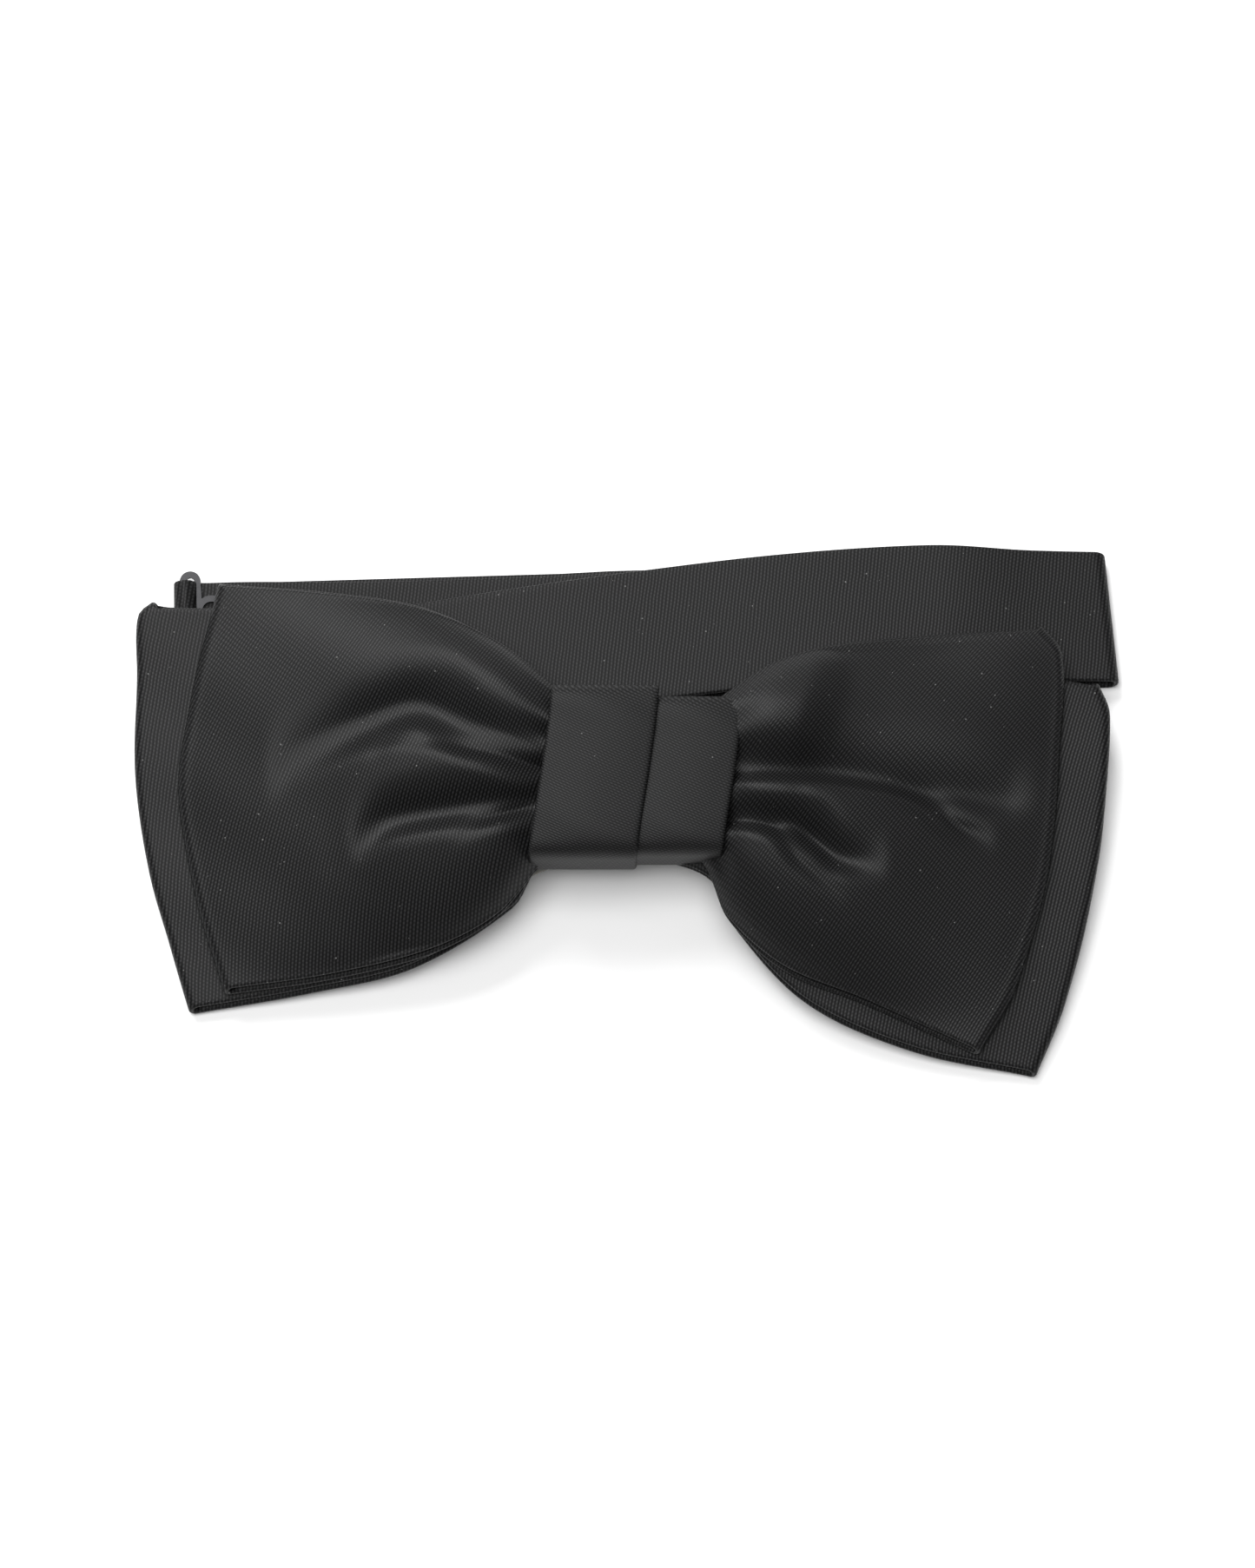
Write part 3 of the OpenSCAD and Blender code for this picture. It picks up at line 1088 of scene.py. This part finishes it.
FRONT_BOW = BowShape(
    name="front_bow_cloth",
    node="front_bow",
    way=(0.0, 0.12, 0.2, 0.35, 0.55, 0.78, 1.0),
    top_edge=(12.4, 12.8, 13.8, 13.0, 11.6, 10.2, 9.3),
    low_edge=(11.0, 10.8, 10.4, 9.4, 7.8, 6.0, 5.0),
    puff=(2.0, 2.6, 3.9, 6.0, 5.4, 2.9, 0.3),
    back_puff=(0.4, 0.5, 0.8, 1.2, 1.2, 0.6, 0.0),
    left=Wing(
        -1,
        top=((0, 0.68), (0.13, 0.70), (0.19, 0.76), (0.31, 0.86), (0.48, 0.94), (0.70, 0.98), (0.92, 1.0)),
        low=((0, 0.45), (0.15, 0.44), (0.22, 0.38), (0.31, 0.28), (0.45, 0.21), (0.67, 0.16), (0.90, 0.13)),
        end=((0.90, 0.13), (0.96, 0.33), (1.0, 0.56), (0.97, 0.78), (0.92, 1.0)),
        folds=LEFT_FOLDS,
        slant_top=0.75,
        slant_low=-0.1,
    ),
    right=Wing(
        1,
        top=((0, 0.68), (0.14, 0.70), (0.21, 0.74), (0.32, 0.81), (0.45, 0.85), (0.70, 0.88), (0.97, 0.90)),
        low=((0, 0.45), (0.11, 0.43), (0.17, 0.37), (0.22, 0.27), (0.35, 0.17), (0.55, 0.10), (0.81, 0.0)),
        end=((0.81, 0.0), (0.89, 0.13), (0.97, 0.38), (1.0, 0.63), (1.01, 0.85), (0.97, 0.90)),
        folds=RIGHT_FOLDS,
        slant_top=0.9,
        slant_low=0.6,
    ),
)

REAR_BOW = BowShape(
    name="rear_bow_cloth",
    node="rear_bow",
    way=(0.0, 0.12, 0.2, 0.4, 0.6, 0.8, 1.0),
    top_edge=(10.0, 9.9, 9.8, 9.2, 8.4, 7.6, 6.9),
    low_edge=(9.0, 8.8, 8.3, 6.2, 4.4, 3.0, 2.0),
    puff=(0.0, 0.0, 0.0, 0.1, 0.3, 0.3, 0.1),
    back_puff=(0.3, 0.3, 0.4, 0.5, 0.4, 0.2, 0.0),
    left=Wing(
        -1,
        top=((0.0, 0.70), (0.17, 0.74), (0.35, 0.91), (0.52, 0.99), (0.98, 1.02)),
        low=((0.0, 0.47), (0.19, 0.45), (0.25, 0.36), (0.45, 0.24), (0.66, 0.19), (0.89, 0.15)),
        end=((0.89, 0.15), (0.93, 0.29), (0.97, 0.44), (1.0, 0.64), (1.0, 0.88), (1.0, 1.0), (0.98, 1.02)),
        slant_top=0.2,
        slant_low=0.0,
    ),
    right=Wing(
        1,
        top=((0.0, 0.70), (0.18, 0.74), (0.32, 0.83), (0.55, 0.87), (0.80, 0.87), (0.98, 0.84)),
        low=((0.0, 0.47), (0.15, 0.42), (0.21, 0.31), (0.36, 0.16), (0.59, 0.06), (0.84, 0.01)),
        end=((0.84, 0.01), (0.90, 0.16), (0.95, 0.35), (0.98, 0.52), (1.0, 0.78), (0.98, 0.84)),
        slant_top=0.35,
        slant_low=0.2,
    ),
    edge_gap=1.3,
    steps_out=80,
    steps_back=60,
    steps_over=60,
    gathers=0.1,
)


# ---------------------------------------------------------------- knot


@dataclass(frozen=True)
class Knot:
    """The knot: one strip in two turns round the waist, the second tucked under the first.

    Sizes are in mm.
    """

    finishes: Finishes
    first_width: float = 12.2
    second_width: float = 11.6
    second_shift: float = 10.6
    overhang: float = 0.8
    tuck: tuple = (0.9, 0.8)
    tuck_shift: tuple = (-0.4, -0.1)
    lean: float = 0.105
    thickness: float = 0.9
    reach: float = 0.9
    drop: float = 0.1
    corner: float = 7.0
    crown: float = 0.35
    ripple: float = 0.10
    edge_bow: float = 0.35
    steps_round: int = 120
    steps_over: int = 26

    def turn(self, middle: np.ndarray, half: np.ndarray, width: float, x: float) -> np.ndarray:
        """Middle surface of one turn of the strip.

        Round the waist it is a superellipse of the given exponent. Across, it is
        straight, with a slight crown and a ripple on the front, and its line bows a little.

        Args:
            middle: centre of the turn across the width and in height.
            half: half height and half depth.
            width: width of the strip.
            x: place of its middle along the width.

        Returns:
            Points in mm, round by across by 3.
        """
        angle = np.linspace(0, 2 * math.pi, self.steps_round, endpoint=False)[:, None]
        w = np.linspace(-0.5, 0.5, self.steps_over)[None, :]
        power = 2.0 / self.corner
        c, s = np.cos(angle), np.sin(angle)
        y = middle[0] + half[0] * np.sign(c) * np.abs(c) ** power
        up = np.sign(s) * np.abs(s) ** power
        front = np.maximum(up, 0)
        crown = self.crown * (1 - (2 * w) ** 2) * front
        ripple = self.ripple * np.sin(y * 0.9 + 5 * w) * front
        z = middle[1] + half[1] * up + crown + ripple
        bow = self.edge_bow * np.sin(math.pi * (y - middle[0]) / (2 * half[0]) + 0.6)
        line = x + self.lean * (y - middle[0]) + bow + w * width
        return np.stack([line, y + 0 * w, z], -1)

    def build(self) -> bpy.types.Object:
        """Returns:
            The piece.
        """
        low, high = (np.array(corner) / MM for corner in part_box("knot_band"))
        middle = (low[1:] + high[1:]) / 2 - [self.drop, 0.0]
        half = (high[1:] - low[1:]) / 2 + [self.reach - self.thickness / 2, -self.thickness / 2]
        x = low[0] + self.first_width / 2 - self.overhang
        turns = (
            self.turn(middle, half, self.first_width, x),
            self.turn(middle + self.tuck_shift, half - self.tuck, self.second_width, x + self.second_shift),
        )
        points, faces, _ = join_shells([Cloth(turn, self.thickness, wrap=True).shell() for turn in turns])
        mm = points / MM
        weave = np.stack([mm[:, 1] + 0.45 * mm[:, 0] + 0.5 * mm[:, 2], mm[:, 0]], -1)
        piece = make_mesh("knot_band_cloth", points, faces, weave)
        self.finishes.dress(piece, Slot.KNOT_SATIN)
        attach(piece, "bow")
        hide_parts("knot_band")
        return piece


# ---------------------------------------------------------------- strap


@dataclass
class NeckStrap:
    """The neck strap: a long band folded at the right, and the doubled end with the hardware.

    Lengths are in mm. A course holds places of the strap's middle as fractions of the box
    of one run. A rise or a run holds pairs: how far from the bar or the slider, and how high.
    """

    finishes: Finishes
    width: float = 16.0
    thickness: float = 0.7
    doubled_thickness: float = 0.58
    doubled_inset: float = 1.0
    weave_lean: float = 0.12
    steps_over: int = 26
    seam_x: float = -46.0
    hook_loop: float = 0.85
    hook_tail: float = 9.0
    fold_top: float = 2.8
    fold_heading: float = math.radians(5.0)
    fold_ease: float = 50.0
    table_z: float = 0.4
    over_slider_z: float = 1.0
    tail_z: float = 1.66
    tail_length: float = 12.0
    bar_gap: float = 0.34
    bar_radius: float = 0.25
    bend_from: float = 2.2
    bend_to: float = 1.45
    slide_z: float = 2.0
    slide_from: float = -28.0
    slide_to: float = 6.0
    short_course: tuple = ((-0.02, 0.36), (0.29, 0.44))
    upper_course: tuple = ((0.01, 0.40), (0.34, 0.52), (0.63, 0.58), (0.83, 0.56), (1.03, 0.56))
    upper_run: tuple = ((-38.7, 4.5), (12.8, 4.5), (25.8, 3.3))
    lower_run: tuple = ((-34.0, 0.4), (-28.0, 1.0), (16.0, 1.0), (24.0, 0.4))
    bar_rise: tuple = ((0.7, 2.55), (1.2, 1.45), (2.6, 1.12), (6.0, 1.16))
    slider_run: tuple = ((-36.0, 1.2), (-27.0, 1.85), (-13.0, 1.95), (-10.0, 2.24), (-4.0, 2.6))

    def __post_init__(self) -> None:
        """Read the joints' places, the strap's turn and the slider's place from the frame."""
        joints = {joint["name"]: joint for joint in frame["record"]["behaviour"]["joints"]}
        self.fold = np.array(joints["strap_unfold"]["pos_m"]) / MM
        self.bar = np.array(joints["eye_swing"]["pos_m"]) / MM
        self.hook = np.array(joints["hook_swing"]["pos_m"]) / MM
        slide = joints["slider_travel"]["axis"]
        self.turn = math.atan2(slide[1], slide[0])
        low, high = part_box("slider_frame")
        self.slider_x = (low[0] + high[0]) / 2 / MM
        self.slider_top = high[2] / MM

    def lower_y(self, x: np.ndarray) -> np.ndarray:
        """Middle of the lower run at x."""
        return self.fold[1] + (x - self.fold[0]) * math.tan(self.turn)

    def course(self) -> np.ndarray:
        """Places of the short half's and the upper run's middle, from left to right.

        Returns:
            Rows of x and y in mm.
        """
        places = []
        runs = (("strap_short_half", self.short_course), ("strap_upper_run", self.upper_course))
        for node, fractions in runs:
            low, high = (np.array(corner[:2]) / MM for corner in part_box(node))
            places.append(low + (high - low) * np.array(fractions))
        return np.concatenate(places)

    def band(self, path: np.ndarray, heading: np.ndarray, width: np.ndarray) -> np.ndarray:
        """Middle surface of a band: each point of the path, carried across its heading.

        A slow wave of a twentieth of a millimetre keeps the cloth from being dead flat.

        Args:
            path: the band's middle line.
            heading: direction of the line in plan at each point.
            width: width of the band at each point.

        Returns:
            Points in mm, along by across by 3.
        """
        over = np.linspace(-0.5, 0.5, self.steps_over)[None, :, None]
        across = np.stack([-np.sin(heading), np.cos(heading), 0 * heading], -1)[:, None]
        grid = path[:, None] + over * across * np.asarray(width)[:, None, None]
        wave = 0.05 * np.sin(grid[..., 0] * 0.21 + grid[..., 1] * 0.13)
        grid[..., 2] += wave * ease(0.6, 3.0, grid[..., 2])
        return grid

    @staticmethod
    def arc(x: float, z: float, radius: float, start: float, end: float, steps: int) -> np.ndarray:
        """Arc in the x-z plane.

        Args:
            x: centre along the strap.
            z: centre's height.
            radius: the arc's radius.
            start: first angle, in quarter turns.
            end: last angle, in quarter turns.
            steps: points on the arc.

        Returns:
            Rows of x and z in mm.
        """
        angle = np.linspace(start, end, steps) * math.pi / 2
        return np.stack([x + radius * np.cos(angle), z + radius * np.sin(angle)], -1)

    def near_side(self) -> np.ndarray:
        """Long band from its sewn tail under the hook plate's bar to the fold, in side view.

        Returns:
            Rows of x and z in mm.
        """
        x, _, z = self.hook
        r = self.hook_loop
        tail = np.stack([np.linspace(x + self.hook_tail, x + 0.4, 14), np.full(14, z - r)], -1)
        out = np.linspace(x + 0.8, self.fold[0], 210)
        run = np.array(self.upper_run) + [self.slider_x, 0]
        knots = [x, x + 5, *run[:, 0], self.fold[0]]
        heights = [z + r, z + 0.15, *run[:, 1], self.fold_top]
        upper = np.stack([out, through(knots, heights, out)], -1)
        return np.concatenate([tail, self.arc(x, z, r, -1, -3, 14), upper])

    def far_side(self) -> np.ndarray:
        """Lower run from the fold to the seam, raised over the slider's travel, in side view.

        Returns:
            Rows of x and z in mm.
        """
        x = np.linspace(self.fold[0], self.seam_x, 200)
        run = np.array(self.lower_run) + [self.slider_x, 0]
        knots = [self.seam_x, *run[:, 0], self.fold[0]]
        return np.stack([x, np.interp(x, knots, [self.table_z, *run[:, 1], self.table_z])], -1)

    def long_path(self) -> tuple[np.ndarray, np.ndarray]:
        """Path of the long band and its heading.

        It comes from under the hook plate's bar, over it, along the short half and the
        upper run, round the fold at the right, and back along the lower run.

        Returns:
            The path's points in mm and the heading at each.
        """
        near, far = self.near_side(), self.far_side()
        r = self.fold_top - self.fold[2]
        bend = self.arc(self.fold[0], self.fold[2], r, 1, -1, 22)[1:-1]
        course = self.course()
        step = 0.1
        y_near = through(list(course[:, 0]), course[:, 1], near[:, 0])
        rise = through(list(course[:, 0]), course[:, 1], near[:, 0] + step) - y_near
        share = ease(0, 1, np.linspace(0, 1, len(bend)))
        y_bend = y_near[-1] + (self.fold[1] - y_near[-1]) * share
        near_turn = np.arctan2(rise, step)
        near_turn += (self.fold_heading - near_turn[-1]) * ease(self.fold_ease, self.fold[0], near[:, 0])
        far_turn = (self.fold_heading - self.turn) * ease(self.fold_ease, self.fold[0], far[:, 0])
        heading = np.concatenate([near_turn, np.full(len(bend), self.fold_heading), self.turn + far_turn])
        side = np.concatenate([near, bend, far])
        y = np.concatenate([y_near, y_bend, self.lower_y(far[:, 0])])
        return np.stack([side[:, 0], y, side[:, 1]], -1), heading

    def long_band(self) -> bpy.types.Object:
        """The strap from the hook plate to the seam at its far end, with its fold at the right.

        Returns:
            The piece.
        """
        path, heading = self.long_path()
        grid = self.band(path, heading, np.full(len(path), self.width))
        points, faces, weave = Cloth(grid, self.thickness, lean=self.weave_lean).shell()
        piece = make_mesh("neck_strap", points, faces, weave)
        self.finishes.dress(piece, Slot.STRAP_SATIN)
        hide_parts("strap_short_half", "strap_short_end_loop", "strap_upper_run", "strap_lower_run")
        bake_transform(piece)
        return piece

    def doubled_side(self) -> np.ndarray:
        """Doubled end in side view: seam, eye bar, back over itself, slider's bar, sewn tail.

        Returns:
            Rows of x and z in mm.
        """
        bar_x, _, bar_z = self.bar
        r = bar_z - self.table_z
        out = np.stack([np.linspace(self.seam_x, bar_x, 14), np.full(14, self.table_z)], -1)
        loop = self.arc(bar_x, bar_z, r, -1, -3, 20)[1:-1]
        top = self.slider_top + self.bar_gap
        rise = np.array(self.bar_rise) + [bar_x, 0]
        run = np.array(self.slider_run) + [self.slider_x, 0]
        knots = [bar_x, *rise[:, 0], *run[:, 0], self.slider_x - 1.2, self.slider_x]
        heights = [bar_z + r, *rise[:, 1], *run[:, 1], top - 0.1, top]
        x = np.concatenate([np.linspace(bar_x, bar_x + 3, 22), np.linspace(bar_x + 3.5, self.slider_x, 150)])
        back = np.stack([x, through(knots, heights, x)], -1)
        r = self.bar_gap + self.bar_radius
        wrap = self.arc(self.slider_x + 0.5, self.slider_top - self.bar_radius, r, 1, -1, 16)[1:]
        x = np.linspace(self.slider_x, self.slider_x - self.tail_length, 24)
        drop = (wrap[-1, 1] - self.tail_z) * ease(self.slider_x - 7, self.slider_x - 2, x)
        return np.concatenate([out, loop, back, wrap, np.stack([x, self.tail_z + drop], -1)])

    def doubled_end(self) -> bpy.types.Object:
        """The strap's end, from the lower run to the slider that it is sewn round.

        Returns:
            The piece.
        """
        side = self.doubled_side()
        path = np.stack([side[:, 0], self.lower_y(side[:, 0]), side[:, 1]], -1)
        width = self.width - self.doubled_inset * ease(-50, -30, side[:, 0])
        width[:14] = self.width
        grid = self.band(path, np.full(len(path), self.turn), width)
        points, faces, weave = Cloth(grid, self.doubled_thickness, lean=self.weave_lean).shell()
        piece = make_mesh("neck_strap_doubled_end", points, faces, weave)
        self.finishes.dress(piece, Slot.STRAP_SATIN)
        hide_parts("strap_end_loop", "strap_return")
        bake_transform(piece)
        return piece

    def build(self) -> list:
        """Make both lengths of strap."""
        return [self.long_band(), self.doubled_end()]


# ---------------------------------------------------------------- carried-over pieces


def dress_frame_nodes(finishes: Finishes) -> None:
    """Give every CAD node that still shows the material of its slot.

    Args:
        finishes: the materials.
    """
    nodes = {
        Slot.GUNMETAL: ("eye_plate", "hook_plate", "slider_frame"),
        Slot.INTERLINING: ("knot_interlining",),
        Slot.THREAD: (
            "gathering_thread",
            "knot_closing_stitches",
            "strap_anchor_stitches",
            "short_end_bar_tack",
            "return_bar_tack",
        ),
    }
    for slot, names in nodes.items():
        for name in names:
            finishes.dress(frame["nodes"][name], slot)
            log.info("dressed %s in %s", name, slot.value)


# ---------------------------------------------------------------- studio


@dataclass(frozen=True)
class Studio:
    """Pale floor, a soft light overhead, one from beyond, dim surroundings, and the camera.

    Surroundings that shine on the cloth are darker than those that light it, as in a
    studio whose walls are dark and whose table is pale.
    """

    lens: float = 135.0
    sensor_width: float = 36.0
    view_width: float = 0.1544
    elevation: float = 78.0
    aim: tuple = (0.00027, 0.0019, 0.006)
    lamp_size: tuple = (0.5, 0.45)
    key_place: tuple = (-0.10, 0.02, 0.92)
    rim_place: tuple = (-0.28, 0.62, 0.66)
    key_power: float = 6.8
    rim_power: float = 8.5
    ambient: float = 0.32
    dark_room: float = 0.05

    def floor(self) -> None:
        """Large pale plane just under the object."""
        bpy.ops.mesh.primitive_plane_add(size=6, location=(0, 0, 0))
        plane = bpy.context.object
        plane.name = "studio_floor"
        material = bpy.data.materials.new("studio_paper")
        material.use_nodes = True
        shader = material.node_tree.nodes["Principled BSDF"]
        shader.inputs["Base Color"].default_value = (0.9, 0.9, 0.9, 1)
        shader.inputs["Roughness"].default_value = 0.9
        shader.inputs["Specular IOR Level"].default_value = 0.1
        plane.data.materials.append(material)

    def lamp(self, name: str, at: tuple, size: float, power: float) -> None:
        """Square area light that faces the object.

        Args:
            name: the light's name.
            at: its place in metres.
            size: its side in metres.
            power: its power in watts.
        """
        data = bpy.data.lights.new(name, "AREA")
        data.size = size
        data.energy = power
        lamp = bpy.data.objects.new(name, data)
        bpy.context.scene.collection.objects.link(lamp)
        lamp.location = at
        lamp.rotation_euler = (-Vector(at)).to_track_quat("-Z", "Y").to_euler()

    def camera(self) -> None:
        """Camera on the circle at the given elevation that frames the given width."""
        data = bpy.data.cameras.new("camera")
        data.sensor_fit = "HORIZONTAL"
        data.sensor_width = self.sensor_width
        data.lens = self.lens
        distance = self.view_width * self.lens / self.sensor_width
        tilt = math.radians(self.elevation)
        camera = bpy.data.objects.new("camera", data)
        bpy.context.scene.collection.objects.link(camera)
        camera.location = (
            self.aim[0],
            self.aim[1] - distance * math.cos(tilt),
            self.aim[2] + distance * math.sin(tilt),
        )
        camera.rotation_euler = (math.radians(90) - tilt, 0, 0)
        data.clip_end = 20
        bpy.context.scene.camera = camera

    def build(self) -> None:
        """Make the floor, the lights, the world and the camera."""
        self.floor()
        self.lamp("key", self.key_place, self.lamp_size[0], self.key_power)
        self.lamp("rim", self.rim_place, self.lamp_size[1], self.rim_power)
        world = bpy.data.worlds.new("studio")
        world.use_nodes = True
        g = Graph(world.node_tree)
        background = world.node_tree.nodes["Background"]
        background.inputs[0].default_value = (1, 1, 1, 1)
        glossy = g.node("ShaderNodeLightPath").outputs["Is Glossy Ray"]
        g.feed(background.inputs[1], g.span(glossy, 0.0, 1.0, self.ambient, self.dark_room))
        bpy.context.scene.world = world
        bpy.context.scene.view_settings.view_transform = "Standard"
        self.camera()


def main() -> None:
    """Build the bow tie in order and report each piece."""
    logging.basicConfig(level=logging.INFO, format="%(message)s")
    finishes = Finishes()
    Studio().build()
    for shape in (REAR_BOW, FRONT_BOW):
        bow = Bow(shape, finishes)
        log.info("built %s", bow.build().name)
        part = shape.node.split("_")[0]
        for side, wing in (("left", shape.left), ("right", shape.right)):
            sheet = bow.lining(wing, f"{part}_interlining_{side}", f"{part}_lining_{side}")
            log.info("built %s", sheet.name)
    log.info("built %s", Knot(finishes).build().name)
    for piece in NeckStrap(finishes).build():
        log.info("built %s", piece.name)
    dress_frame_nodes(finishes)


if __name__ == "__main__":
    main()
